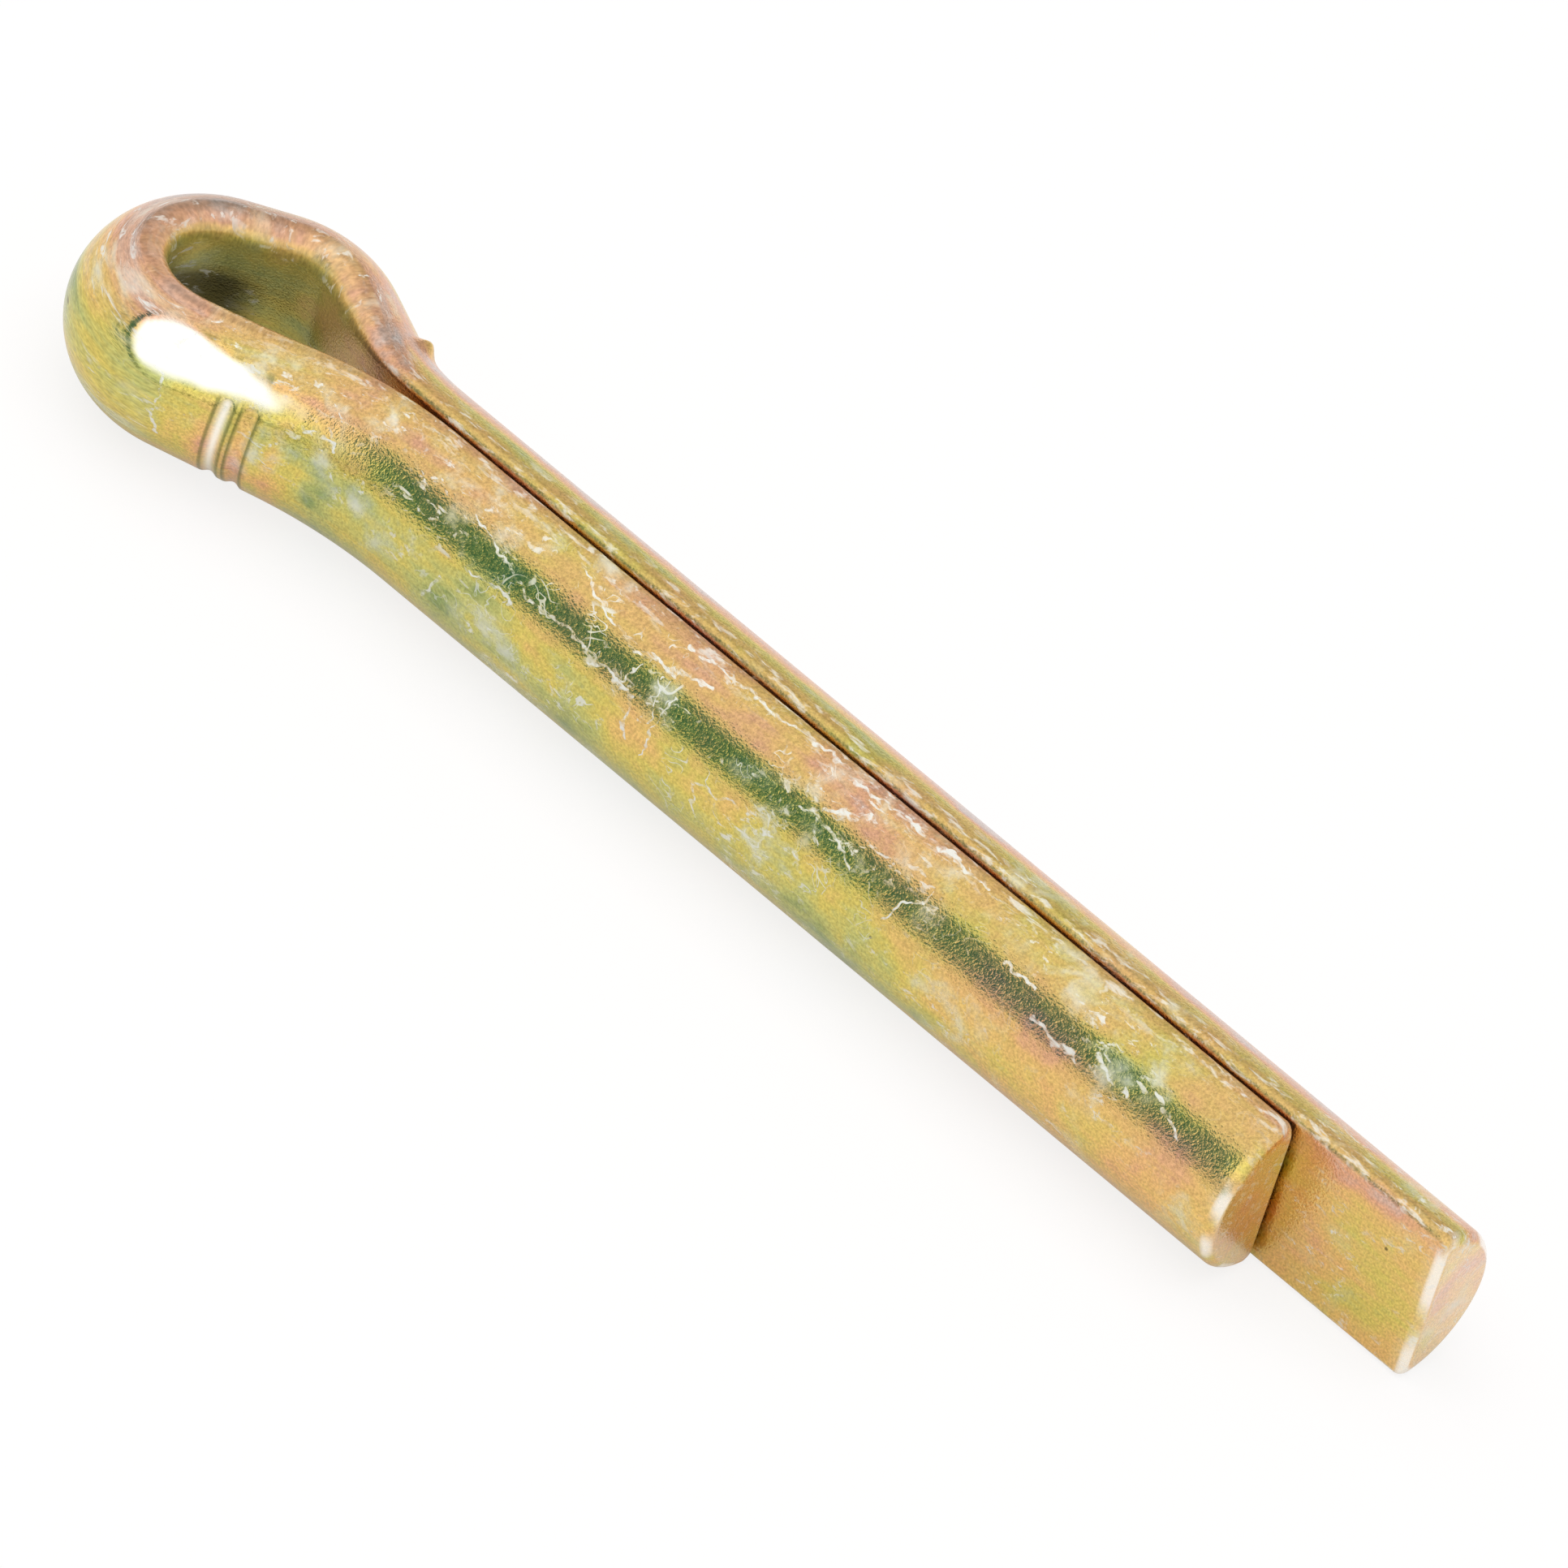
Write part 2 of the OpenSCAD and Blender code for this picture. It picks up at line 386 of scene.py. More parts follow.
def noise_at(places, cells, where, shift=(0, 0, 0)):
    """Smooth noise at the places that are asked for, and 0 elsewhere."""
    points = (np.column_stack(places) * cells + shift).tolist()
    return np.array([noise.noise(point) if wanted else 0.0 for point, wanted in zip(points, where)])


class Bends:
    """The bending plan: where the wire's flat runs, from the short prong's tip to the long one's."""

    def __init__(self, w):
        near, far, back = w["near_slope"], w["far_slope"], w["back_slope"]
        hole = w["hole_r"]
        self.shank_r = w["shank_d"] / 2
        self.half_gap = w["prong_gap"] / 2
        wire_t = self.shank_r - self.half_gap
        far_leg = (w["hole_far"] - hole * (1 - math.cos(far)) - self.half_gap) / math.sin(far)
        near_leg = (w["hole_near"] - hole * (1 - math.cos(near)) - self.half_gap) / math.sin(near)
        far_r = w["far_bend_r"] + wire_t
        near_r = w["near_bend_r"] + wire_t
        far_run = far_r * math.tan(far / 2)
        near_run = near_r * math.tan(near / 2)
        back_len = (w["hole_near"] + w["hole_far"] - 2 * hole) / math.sin(back)
        nose_x = -far_run - far_leg * math.cos(far) - hole * math.sin(far) - back_len * math.cos(back)
        near_end = nose_x + hole * math.sin(near) + near_leg * math.cos(near) + near_run
        long_end = w["short_len"] + w["long_extra"]
        middle = ((long_end + nose_x - hole - wire_t) / 2, (w["hole_far"] - w["hole_near"]) / 2)
        self.start = np.array([w["short_len"] - middle[0], -self.half_gap - middle[1]])
        # Each step is a length along the flat and the bend's radius: 0 for a straight, below 0 to the right
        self.steps = [
            ("short", w["short_len"] - near_end, 0),
            ("near_bend", near_r * near, near_r),
            ("near_leg", near_leg - near_run, 0),
            ("nose", hole * (math.pi + near - back), -hole),
            ("back", back_len, 0),
            ("shoulder", hole * (back + far), -hole),
            ("far_leg", far_leg - far_run, 0),
            ("far_bend", far_r * far, far_r),
            ("long", long_end, 0),
        ]
        self.ends = np.cumsum([0] + [step[1] for step in self.steps])
        self.total = self.ends[-1]

    def span(self, name):
        """Where a step of the plan starts and ends along the wire."""
        i = [step[0] for step in self.steps].index(name)
        return self.ends[i], self.ends[i + 1]

    def at(self, along):
        """Points on the flat and headings, at distances along the wire."""
        points, headings = np.zeros((len(along), 2)), np.zeros(len(along))
        p, h = self.start.copy(), math.pi
        for i, (_, length, r) in enumerate(self.steps):
            last = i == len(self.steps) - 1
            before_end = along <= self.ends[i + 1] if last else along < self.ends[i + 1]
            here = (along >= self.ends[i]) & before_end
            d = along[here] - self.ends[i]
            if r == 0:
                points[here] = p + d[:, None] * [math.cos(h), math.sin(h)]
                headings[here] = h
                p = p + length * np.array([math.cos(h), math.sin(h)])
            else:
                centre = p + r * np.array([-math.sin(h), math.cos(h)])
                turned = h + d / r
                points[here] = centre + r * np.stack([np.sin(turned), -np.cos(turned)], 1)
                headings[here] = turned
                h = h + length / r
                p = centre + r * np.array([math.sin(h), -math.cos(h)])
        return points, headings

    def frame_at(self, along):
        """Points on the flat, unit headings and unit normals toward the round side."""
        p, h = self.at(along)
        return p, np.stack([np.cos(h), np.sin(h)], 1), np.stack([-np.sin(h), np.cos(h)], 1)

    def rings(self, tip_r):
        """Distances along the wire at which it gets a ring."""
        parts = []
        for name, length, _ in self.steps:
            count = math.ceil(length / RING_PITCH.get(name, EYE_RING_PITCH)) + 1
            parts.append(np.linspace(*self.span(name), count))
        along = np.concatenate(parts)
        along = along[(along > tip_r * TIP_CLEAR) & (along < self.total - tip_r * TIP_CLEAR)]
        tip = tip_r * (1 - np.cos(np.linspace(0, math.pi / 2, TIP_RINGS)))
        along = np.sort(np.concatenate([along, tip, self.total - tip]))
        return along[np.concatenate([[True], np.diff(along) > RING_LEAST])]


def half_round(shank_r, half_gap, edge_r):
    """Outline of the wire's section: out from the flat, and up, anticlockwise."""
    rise = math.sqrt((shank_r - edge_r) ** 2 - (edge_r + half_gap) ** 2)
    lean = math.atan2(rise, edge_r + half_gap)
    arc = np.linspace(-lean, lean, ARC_POINTS)
    round_side = np.stack([shank_r * np.cos(arc) - half_gap, shank_r * np.sin(arc)], 1)
    turn = np.linspace(lean, math.pi, EDGE_POINTS)[1:]
    upper = np.stack([edge_r + edge_r * np.cos(turn), rise + edge_r * np.sin(turn)], 1)
    flat = np.stack([np.zeros(FLAT_POINTS), np.linspace(rise, -rise, FLAT_POINTS)], 1)[1:-1]
    lower = upper[::-1] * [1, -1]
    return np.concatenate([round_side, upper, flat, lower])


def line_mesh(name, points, closed, **values):
    """A mesh of joined edges, with float attributes on its points."""
    n = len(points)
    edges = [(i, (i + 1) % n) for i in range(n if closed else n - 1)]
    mesh = bpy.data.meshes.new(name)
    mesh.from_pydata([tuple(p) for p in points], edges, [])
    for key, data in values.items():
        mesh.attributes.new(key, "FLOAT", "POINT").data.foreach_set("value", np.asarray(data, np.float32))
    return mesh


def sweep_tree():
    """Sweeps a section along a path and draws both ends in over the tips' rounding."""
    tree = bpy.data.node_groups.new("Wire sweep", "GeometryNodeTree")
    for name, kind in (
        ("Path", "NodeSocketGeometry"),
        ("Section", "NodeSocketObject"),
        ("Tip Rounding", "NodeSocketFloat"),
        ("Half Width", "NodeSocketFloat"),
        ("Material", "NodeSocketMaterial"),
    ):
        tree.interface.new_socket(name, in_out="INPUT", socket_type=kind)
    tree.interface.new_socket("Wire", in_out="OUTPUT", socket_type="NodeSocketGeometry")
    given = add(tree, "NodeGroupInput").outputs
    rounding = given["Tip Rounding"]
    path = add(tree, "GeometryNodeMeshToCurve", {"Mesh": given["Path"]})
    upright = add(tree, "GeometryNodeSetCurveNormal", {"Curve": path}, mode="Z_UP")

    # Distance to the nearer tip, and how far a quarter circle of the rounding draws the section in there
    total = add(tree, "GeometryNodeCurveLength", {"Curve": path})
    along = add(tree, "GeometryNodeSplineParameter").outputs["Length"]
    left = add(tree, "ShaderNodeMath", {0: total, 1: along}, operation="SUBTRACT")
    to_tip = add(tree, "ShaderNodeMath", {0: along, 1: left}, operation="MINIMUM")
    short_of = add(tree, "ShaderNodeMath", {0: rounding, 1: to_tip}, operation="SUBTRACT")
    reach = add(tree, "ShaderNodeMath", {0: short_of, 1: 0.0}, operation="MAXIMUM")
    reach2 = add(tree, "ShaderNodeMath", {0: reach, 1: reach}, operation="MULTIPLY")
    round2 = add(tree, "ShaderNodeMath", {0: rounding, 1: rounding}, operation="MULTIPLY")
    rest2 = add(tree, "ShaderNodeMath", {0: round2, 1: reach2}, operation="SUBTRACT")
    rest = add(tree, "ShaderNodeMath", {0: rest2, 1: 0.5}, operation="POWER")
    inset = add(tree, "ShaderNodeMath", {0: rounding, 1: rest}, operation="SUBTRACT")
    share = add(tree, "ShaderNodeMath", {0: inset, 1: given["Half Width"]}, operation="DIVIDE")
    scale = add(tree, "ShaderNodeMath", {0: 1.0, 1: share}, operation="SUBTRACT")

    info = add(tree, "GeometryNodeObjectInfo", {"Object": given["Section"]})
    section = add(tree, "GeometryNodeMeshToCurve", {"Mesh": info.outputs["Geometry"]})
    wire = add(
        tree,
        "GeometryNodeCurveToMesh",
        {"Curve": upright, "Profile Curve": section, "Scale": scale, "Fill Caps": True},
    )
    smooth = add(tree, "GeometryNodeSetShadeSmooth", {"Geometry": wire})
    real = add(tree, "GeometryNodeRealizeInstances", {"Geometry": smooth})
    done = add(tree, "GeometryNodeSetMaterial", {"Geometry": real, "Material": given["Material"]})
    add(tree, "NodeGroupOutput", {"Wire": done})
    return tree


def as_mesh(name, mesh, tree, inputs):
    """Runs a node tree on a mesh and returns the result as a plain mesh object."""
    source = put(name + "_source", mesh)
    modifier = source.modifiers.new(tree.name, "NODES")
    modifier.node_group = tree
    for item in tree.interface.items_tree:
        if item.in_out == "INPUT" and item.name in inputs:
            modifier[item.identifier] = inputs[item.name]
    graph = bpy.context.evaluated_depsgraph_get()
    result = bpy.data.meshes.new_from_object(source.evaluated_get(graph), depsgraph=graph)
    result.name = name
    bpy.data.objects.remove(source)
    return put(name, result)


def column(mesh, name):
    """A float attribute of a mesh's points as an array."""
    data = np.zeros(len(mesh.vertices), np.float32)
    mesh.attributes[name].data.foreach_get("value", data)
    return data.astype(float)


def chromate(colours):
    """Steel wire, cold drawn, zinc plated and dipped in yellow chromate.

    Drawing leaves long bands, plating a fine matt grain, and the film shows the colour of its thickness: mostly
    gold, with peach where it is thin and olive to green where it is thick. Handling leaves pale scuffs, powdery
    hairlines and worn edges, and the bending tool a bright bare flat, whose outline is partly a painted highlight.
    Shade is painted low inside the eye and round the rims of the tool's marks, the rim of the eye's back is painted
    darker, and highlights are painted in the die marks and, with bare spots, round the tips."""
    mat = bpy.data.materials.new("yellow_chromate_on_zinc_plated_wire")
    tree = empty_tree(mat)
    unbent, skin = (
        add(tree, "ShaderNodeAttribute", attribute_name=name).outputs["Vector"] for name in ("unbent", "skin")
    )
    lean, rub, pressed, groove, linty, recess, matt = (
        add(tree, "ShaderNodeAttribute", attribute_name=name).outputs["Fac"]
        for name in ("film_lean", "rub", "pressed", "groove", "linty", "recess", "matt")
    )
    fields = {}
    for name, per_mm, detail, rough, distortion, shift in PATTERNS:
        place = add(tree, "ShaderNodeMapping", {"Vector": unbent, "Location": shift, "Scale": per_mm})
        fields[name] = add(
            tree,
            "ShaderNodeTexNoise",
            {"Vector": place, "Scale": 1.0, "Detail": detail, "Roughness": rough, "Distortion": distortion},
        )

    # Film thickness: its lean round the wire, patches some millimetres long, smaller clouds and drawing bands
    thick = lean
    for name, share in (("patch", 0.95), ("cloud", 0.46), ("band", 0.4)):
        off = add(tree, "ShaderNodeMath", {0: fields[name], 1: 0.5}, operation="SUBTRACT")
        thick = add(tree, "ShaderNodeMath", {0: off, 1: share, 2: thick}, operation="MULTIPLY_ADD")
    ramp = add(tree, "ShaderNodeValToRGB", {"Fac": thick})
    stops = ramp.color_ramp.elements
    (thinnest, first), *between, (thickest, last) = FILM_STOPS
    stops[0].position, stops[0].color = first, getattr(colours, thinnest)
    stops[1].position, stops[1].color = last, getattr(colours, thickest)
    for name, place in between:
        stops.new(place).color = getattr(colours, name)

    # Matt grain: darker and brighter specks over everything
    grain = fields["grain"]
    speck = add(tree, "ShaderNodeMapRange", {"Value": grain, FROM: 0.3, UPTO: 0.7, LOW: 0.76, HIGH: 1.14})
    colour = add(
        tree, "ShaderNodeMix", {SHARE: 1.0, UNDER: ramp, OVER: speck}, data_type="RGBA", blend_type="MULTIPLY"
    )

    # Dark pits under 0.1 mm wide, painted shade deep inside the eye, partly for its thin dull plating, and the
    # darker rim of its back
    pits = add(tree, "ShaderNodeTexVoronoi", {"Vector": unbent, "Scale": PITS_PER_MM})
    pit_and_shade = add(tree, "ShaderNodeMapRange", {"Value": pits, FROM: 0.025, UPTO: 0.05, LOW: 0.8, HIGH: 0.0}, **SOFT)
    pit_and_shade = add(tree, "ShaderNodeMath", {0: pit_and_shade, 1: recess}, operation="MAXIMUM")
    colour = add(tree, "ShaderNodeMix", {SHARE: pit_and_shade, UNDER: colour, OVER: colours.pit_and_shade}, data_type="RGBA")

    # Pale wear. Powdery patches are broken into strokes, and edges are worn in specks
    patches = add(tree, "ShaderNodeMapRange", {"Value": fields["haze"], FROM: 0.46, UPTO: 0.64}, **SOFT)
    strokes = add(tree, "ShaderNodeMapRange", {"Value": fields["stroke"], FROM: 0.55, UPTO: 0.68, HIGH: 0.8}, **SOFT)
    specks = add(
        tree, "ShaderNodeMapRange", {"Value": fields["edge_wear"], FROM: 0.52, UPTO: 0.66, HIGH: 0.65}, **SOFT
    )
    powder = add(tree, "ShaderNodeMath", {0: strokes, 1: patches}, operation="MULTIPLY")
    wear_and_highlight = add(tree, "ShaderNodeMath", {0: specks, 1: rub}, operation="MULTIPLY")
    pale = add(tree, "ShaderNodeMath", {0: powder, 1: wear_and_highlight}, operation="MAXIMUM")

    # A thin bloom of powder lies on the film in clouds, and less of it on the flats
    drift = add(tree, "ShaderNodeMapRange", {"Value": fields["cloud"], FROM: 0.46, UPTO: 0.74}, **SOFT)
    bloom = add(tree, "ShaderNodeMath", {0: patches, 1: drift}, operation="MULTIPLY")
    out = add(tree, "ShaderNodeSeparateXYZ", {0: unbent}).outputs["Y"]
    off_flat = add(tree, "ShaderNodeMapRange", {"Value": out, FROM: 0.0, UPTO: 0.1, LOW: 0.15, HIGH: 0.6})
    bloom = add(tree, "ShaderNodeMath", {0: bloom, 1: off_flat}, operation="MULTIPLY")
    pale = add(tree, "ShaderNodeMath", {0: pale, 1: bloom}, operation="MAXIMUM")

    # Fine hairlines run where a noise crosses its middle, and only in places
    some = add(tree, "ShaderNodeMapRange", {"Value": fields["cloud"], FROM: 0.5, UPTO: 0.62}, **SOFT)
    some = add(tree, "ShaderNodeMath", {0: some, 1: linty}, operation="MULTIPLY")
    for name, width in (("hair", 0.014), ("curl", 0.02)):
        off = add(tree, "ShaderNodeMath", {0: fields[name], 1: 0.5}, operation="SUBTRACT")
        off = add(tree, "ShaderNodeMath", {0: off}, operation="ABSOLUTE")
        edge = {FROM: width * 0.4, UPTO: width, LOW: 0.85, HIGH: 0.0}
        line = add(tree, "ShaderNodeMapRange", {"Value": off, **edge}, **SOFT)
        line = add(tree, "ShaderNodeMath", {0: line, 1: some}, operation="MULTIPLY")
        pale = add(tree, "ShaderNodeMath", {0: pale, 1: line}, operation="MAXIMUM")

    # Longer strands wander along their lines over the skin of the wire, and frays thin them
    wander = fields["wander"].outputs["Color"]
    off = add(tree, "ShaderNodeVectorMath", {0: wander, 1: (0.5, 0.5, 0.5)}, operation="SUBTRACT")
    off = add(tree, "ShaderNodeVectorMath", {0: off, 1: (0.5, 0.5, 0.0)}, operation="MULTIPLY")
    spot = add(tree, "ShaderNodeVectorMath", {0: skin, 1: off}, operation="ADD")
    fray = add(tree, "ShaderNodeMapRange", {"Value": fields["stroke"], FROM: 0.4, UPTO: 0.56, LOW: 0.1, HIGH: 1.0})
    for from_along, from_up, to_along, to_up, width in STRANDS:
        start = Vector((from_along, math.radians(from_up) * SKIN_R, 0))
        run = Vector((to_along, math.radians(to_up) * SKIN_R, 0)) - start
        rel = add(tree, "ShaderNodeVectorMath", {0: spot, 1: start}, operation="SUBTRACT")
        done = add(tree, "ShaderNodeVectorMath", {0: rel, 1: run / run.length_squared}, operation="DOT_PRODUCT")
        done = add(tree, "ShaderNodeMath", {0: done.outputs["Value"], 1: 0.0}, operation="ADD", use_clamp=True)
        foot = add(tree, "ShaderNodeVectorMath", {0: run, "Scale": done}, operation="SCALE")
        away = add(tree, "ShaderNodeVectorMath", {0: rel, 1: foot}, operation="DISTANCE").outputs["Value"]
        edge = {FROM: width * 0.3, UPTO: width * 0.6, LOW: 0.9, HIGH: 0.0}
        line = add(tree, "ShaderNodeMapRange", {"Value": away, **edge}, **SOFT)
        line = add(tree, "ShaderNodeMath", {0: line, 1: fray}, operation="MULTIPLY")
        pale = add(tree, "ShaderNodeMath", {0: pale, 1: line}, operation="MAXIMUM")
    colour = add(tree, "ShaderNodeMix", {SHARE: pale, UNDER: colour, OVER: colours.scuff}, data_type="RGBA")

    # Painted shade on the rims of the tool's marks, and bright bare metal, partly painted highlights, on the pressed
    # flat, the die marks' bottoms, round the tips and thinly on their ends
    for mask, share, paint in ((groove, 0.85, colours.rim), (pressed, 0.95, colours.bare_metal_and_highlight)):
        mask = add(tree, "ShaderNodeMath", {0: mask, 1: share}, operation="MULTIPLY")
        colour = add(tree, "ShaderNodeMix", {SHARE: mask, UNDER: colour, OVER: paint}, data_type="RGBA")

    # Satin: rougher with the grain, on the powder and on rubbed edges, smoother on the pressed flat
    satin = add(tree, "ShaderNodeMapRange", {"Value": grain, FROM: 0.3, UPTO: 0.7, LOW: 0.16, HIGH: 0.23})
    for mask, more in ((pale, 0.35), (rub, 0.12), (pressed, -0.06)):
        satin = add(tree, "ShaderNodeMath", {0: mask, 1: more, 2: satin}, operation="MULTIPLY_ADD")

    # Powder and the dull plating inside the eye are less metallic than the film
    metal = add(tree, "ShaderNodeMapRange", {"Value": pale, FROM: 0.0, UPTO: 0.9, LOW: 0.97, HIGH: 0.2})
    metal = add(tree, "ShaderNodeMath", {0: matt, 1: -0.62, 2: metal}, operation="MULTIPLY_ADD", use_clamp=True)

    # Relief: the grain, pressed away on the flat, and the drawing bands
    still = add(tree, "ShaderNodeMath", {0: 1.0, 1: pressed}, operation="SUBTRACT")
    height = add(tree, "ShaderNodeMath", {0: grain, 1: still}, operation="MULTIPLY")
    height = add(tree, "ShaderNodeMath", {0: fields["band"], 1: 0.8, 2: height}, operation="MULTIPLY_ADD")
    bump = add(tree, "ShaderNodeBump", {"Strength": 1.0, "Distance": BUMP_H * MM, "Height": height})
    shader = add(
        tree,
        "ShaderNodeBsdfPrincipled",
        {"Base Color": colour, "Metallic": metal, "Roughness": satin, "Normal": bump},
    )
    add(tree, "ShaderNodeOutputMaterial", {"Surface": shader})
    return mat


class Skin:
    """The swept wire's points in the wire's own terms, its forming marks, and what the material reads."""

    def __init__(self, mesh, plan, w, half_h):
        self.mesh, self.plan, self.w, self.half_h = mesh, plan, w, half_h
        self.along = column(mesh, "along")
        co = np.zeros(len(mesh.vertices) * 3, np.float32)
        mesh.vertices.foreach_get("co", co)
        self.co = co.reshape(-1, 3).astype(float) / MM
        p, _, self.n = plan.frame_at(self.along)
        self.out = ((self.co[:, :2] - p) * self.n).sum(1)
        self.up = self.co[:, 2] - half_h
        self.turn = np.arctan2(self.up, self.out + plan.half_gap)
        self.degrees = np.degrees(self.turn)
        self.outward = np.column_stack([self.n * np.cos(self.turn)[:, None], np.sin(self.turn)])
        self.rounded = self.out > w["edge_r"] / 2
        self.to_tip = np.minimum(self.along, plan.total - self.along)
        eye_from, eye_to = plan.span("near_bend")[0] + EYE_LEAD, plan.span("far_bend")[1]
        self.round_eye = plateau(
            self.along, eye_from, plan.span("near_leg")[1], plan.span("far_leg")[0], eye_to
        )
        self.inner = smoothstep(*INNER_SKIN, self.out) * self.round_eye

    def round_edges(self):
        """Makes the wire's edges rounder all round the eye, and the nose thinner on its inside."""
        self.co[:, :2] += self.n * (column(self.mesh, "soft_out") * self.round_eye)[:, None]
        self.co[:, 2] += column(self.mesh, "soft_up") * self.round_eye
        start, end = self.plan.span("nose")
        thin = NOSE_THIN * np.sin(np.pi * np.clip((self.along - start) / (end - start), 0, 1)) ** 2
        self.co[:, :2] += self.n * (thin * smoothstep(*NOSE_FADE, self.out))[:, None]

    def press_die_marks(self):
        """Presses two grooves across the lower flank of the near leg, with painted shade at their rims and painted
        highlights on their bottoms.
        """
        flank = plateau(self.degrees, *DIE_SPAN) * self.rounded
        self.groove = np.zeros(len(self.along))
        self.groove_highlight = np.zeros(len(self.along))
        for i, wear_and_highlight in enumerate(DIE_HIGHLIGHT, 1):
            place = self.plan.span("near_leg")[0] + i * self.w["mark_pitch"]
            across = (self.along - place) / (self.w["mark_w"] / 2)
            depth = self.w["mark_depth"] * np.clip(1 - across**2, 0, 1) ** DIE_PROFILE
            self.co -= self.outward * (depth * flank)[:, None]
            # Painted shade along the rims of each groove, and a painted highlight on its bottom
            self.groove = np.maximum(self.groove, bell(np.abs(across) - 1, DIE_RIM) * flank)
            self.groove_highlight = np.maximum(self.groove_highlight, wear_and_highlight * bell(across, DIE_BOTTOM) * flank)

    def press_flat(self):
        """Presses the flat on the near leg's upper flank, with a fine burr, bare metal on it whose outline is partly
        a painted highlight, and a broken rim of painted shade round it.
        """
        along, turn, shank_r = self.along, self.turn, self.plan.shank_r
        leg_from, leg_to = self.plan.span("near_leg")
        leg = (leg_from + leg_to) / 2
        p, t, n = (v[0] for v in self.plan.frame_at(np.array([leg])))
        facing = np.array([*(n * math.cos(FLAT_FACE)), math.sin(FLAT_FACE)])
        normal = facing * math.cos(FLAT_TILT) + np.array([*t, 0]) * math.sin(FLAT_TILT)
        axis = np.array([*(p - n * self.plan.half_gap), self.half_h])
        proud = (self.co - axis - facing * (shank_r - self.w["flat_depth"])) @ normal
        here = self.rounded & (turn > FLAT_LOW) & (along > leg - FLAT_BACK) & (along < leg + FLAT_ON)
        burr = BURR_H * bell(proud + BURR_W, BURR_W) * (along > leg_from)
        self.co += self.outward * (burr * (here & (proud < 0)))[:, None]
        self.co -= normal * (np.clip(proud, 0, None) * here)[:, None]

        # Bare metal on the flat, its outline partly a painted highlight, ragged at its edge and running out below,
        # and less so toward the nose
        round_it = (along, turn, np.zeros(len(along)))
        ragged = RAGGED * noise_at(round_it, RAGGED_CELLS, here)
        pressed = smoothstep(*BARE_AND_HIGHLIGHT_EDGE, proud + ragged) * here
        above = shank_r * (turn - FLAT_FACE) + RAGGED_BELOW * ragged + BARE_AND_HIGHLIGHT_RUN * (along - leg)
        pressed *= smoothstep(*BARE_AND_HIGHLIGHT_BELOW, above)

        # A dark rim of painted shade on the flat's upper side and round its end at the nose, broken in places
        side = np.maximum(smoothstep(*RIM_SIDE, self.degrees), smoothstep(*RIM_CORNER, along - leg_to))
        rim = bell(proud + ragged + RIM_AT, RIM_W) * here * side * (along > leg_from + RIM_LEAD)
        broken = smoothstep(*RIM_BREAKS, noise_at(round_it, RIM_CELLS, here, RIM_SHIFT))
        self.groove = np.maximum(self.groove, RIM_DARK * rim * broken) * (1 - pressed)
        self.pressed = np.maximum(pressed, self.groove_highlight)

    def raise_nub(self):
        """Raises the nub past the far leg."""
        off_along = self.along - self.plan.span("far_leg")[1] - NUB_PAST
        off_round = self.plan.shank_r * (self.turn - NUB_FACE)
        self.nub_off2 = off_along**2 + off_round**2
        height = self.w["nub_h"] * np.exp(-self.nub_off2 / (2 * NUB_R**2))
        self.co += self.outward * (height * self.rounded)[:, None]

    def film_lean(self):
        """How the film's thickness leans round the wire."""
        along, degrees, plan = self.along, self.degrees, self.plan
        leg_from, leg_to = plan.span("near_leg")

        # Near prong, thinner toward its tip, then eye and far prong
        near_tip = smoothstep(*TIP_REACH, along) * smoothstep(*TIP_FLANK, degrees)
        lean = np.interp(degrees, *NEAR_FILM) - TIP_LESS * near_tip
        lean = mix(lean, np.interp(degrees, *EYE_FILM), smoothstep(leg_from, leg_to + EYE_PAST, along))
        lean = mix(lean, np.interp(degrees, *FAR_FILM), smoothstep(*plan.span("far_bend"), along))

        # Flats, thin along the top of the prongs' and thicker in the eye
        prong_top = smoothstep(*FLAT_TOP, self.up) * (1 - self.round_eye)
        flat = FLAT_FILM + FLAT_EYE_MORE * self.round_eye - FLAT_TOP_LESS * prong_top
        lean = mix(lean, flat, smoothstep(*FLAT_SKIN, self.out))

        # The nub, rainbow bands beside the die marks, the upper side of the far leg, and the sheared ends
        lean = mix(lean, NUB_FILM, NUB_SHARE * np.exp(-self.nub_off2 / NUB_SPREAD))
        past = along - leg_from - self.w["mark_pitch"]
        bands = BAND_FILM - BAND_SWING * np.cos(2 * np.pi * past / BAND_PITCH)
        beside = bell(past, BAND_REACH) * smoothstep(*BAND_FLANK, degrees) * self.rounded
        lean = mix(lean, bands, BAND_SHARE * beside)
        far_leg = plateau(
            along, plan.span("back")[0], plan.span("shoulder")[1], plan.span("far_leg")[1], plan.span("far_bend")[1]
        )
        lean = lean - FAR_LEG_LESS * far_leg * smoothstep(*FAR_LEG_FLANK, degrees)
        return mix(lean, END_FILM, smoothstep(*END_SKIN, self.to_tip))

    def eye_shade_and_dark_rim(self):
        """Painted shade low in the eye, most at the nose, partly for thin dull plating, and a darker rim on its
        back.
        """
        nose_from, nose_to = self.plan.span("nose")
        back_from, back_to = self.plan.span("back")
        nose_side = smoothstep(back_to, nose_to + NOSE_PAST, self.along)
        # Painted shade, deepening toward the bottom of the eye's inside
        deep = smoothstep(SHADE_START, SHADE_FULL + SHADE_NOSE_HIGHER * nose_side, self.up)
        deep = (SHADE + SHADE_NOSE_MORE * nose_side) * deep
        rim = plateau(self.along, nose_from + BACK_RIM_LEAD, nose_to, back_from, self.plan.span("far_leg")[0])
        rim = rim * smoothstep(*BACK_RIM_FLANK, self.degrees) * (1 - self.inner)
        return deep * self.inner + BACK_RIM * rim

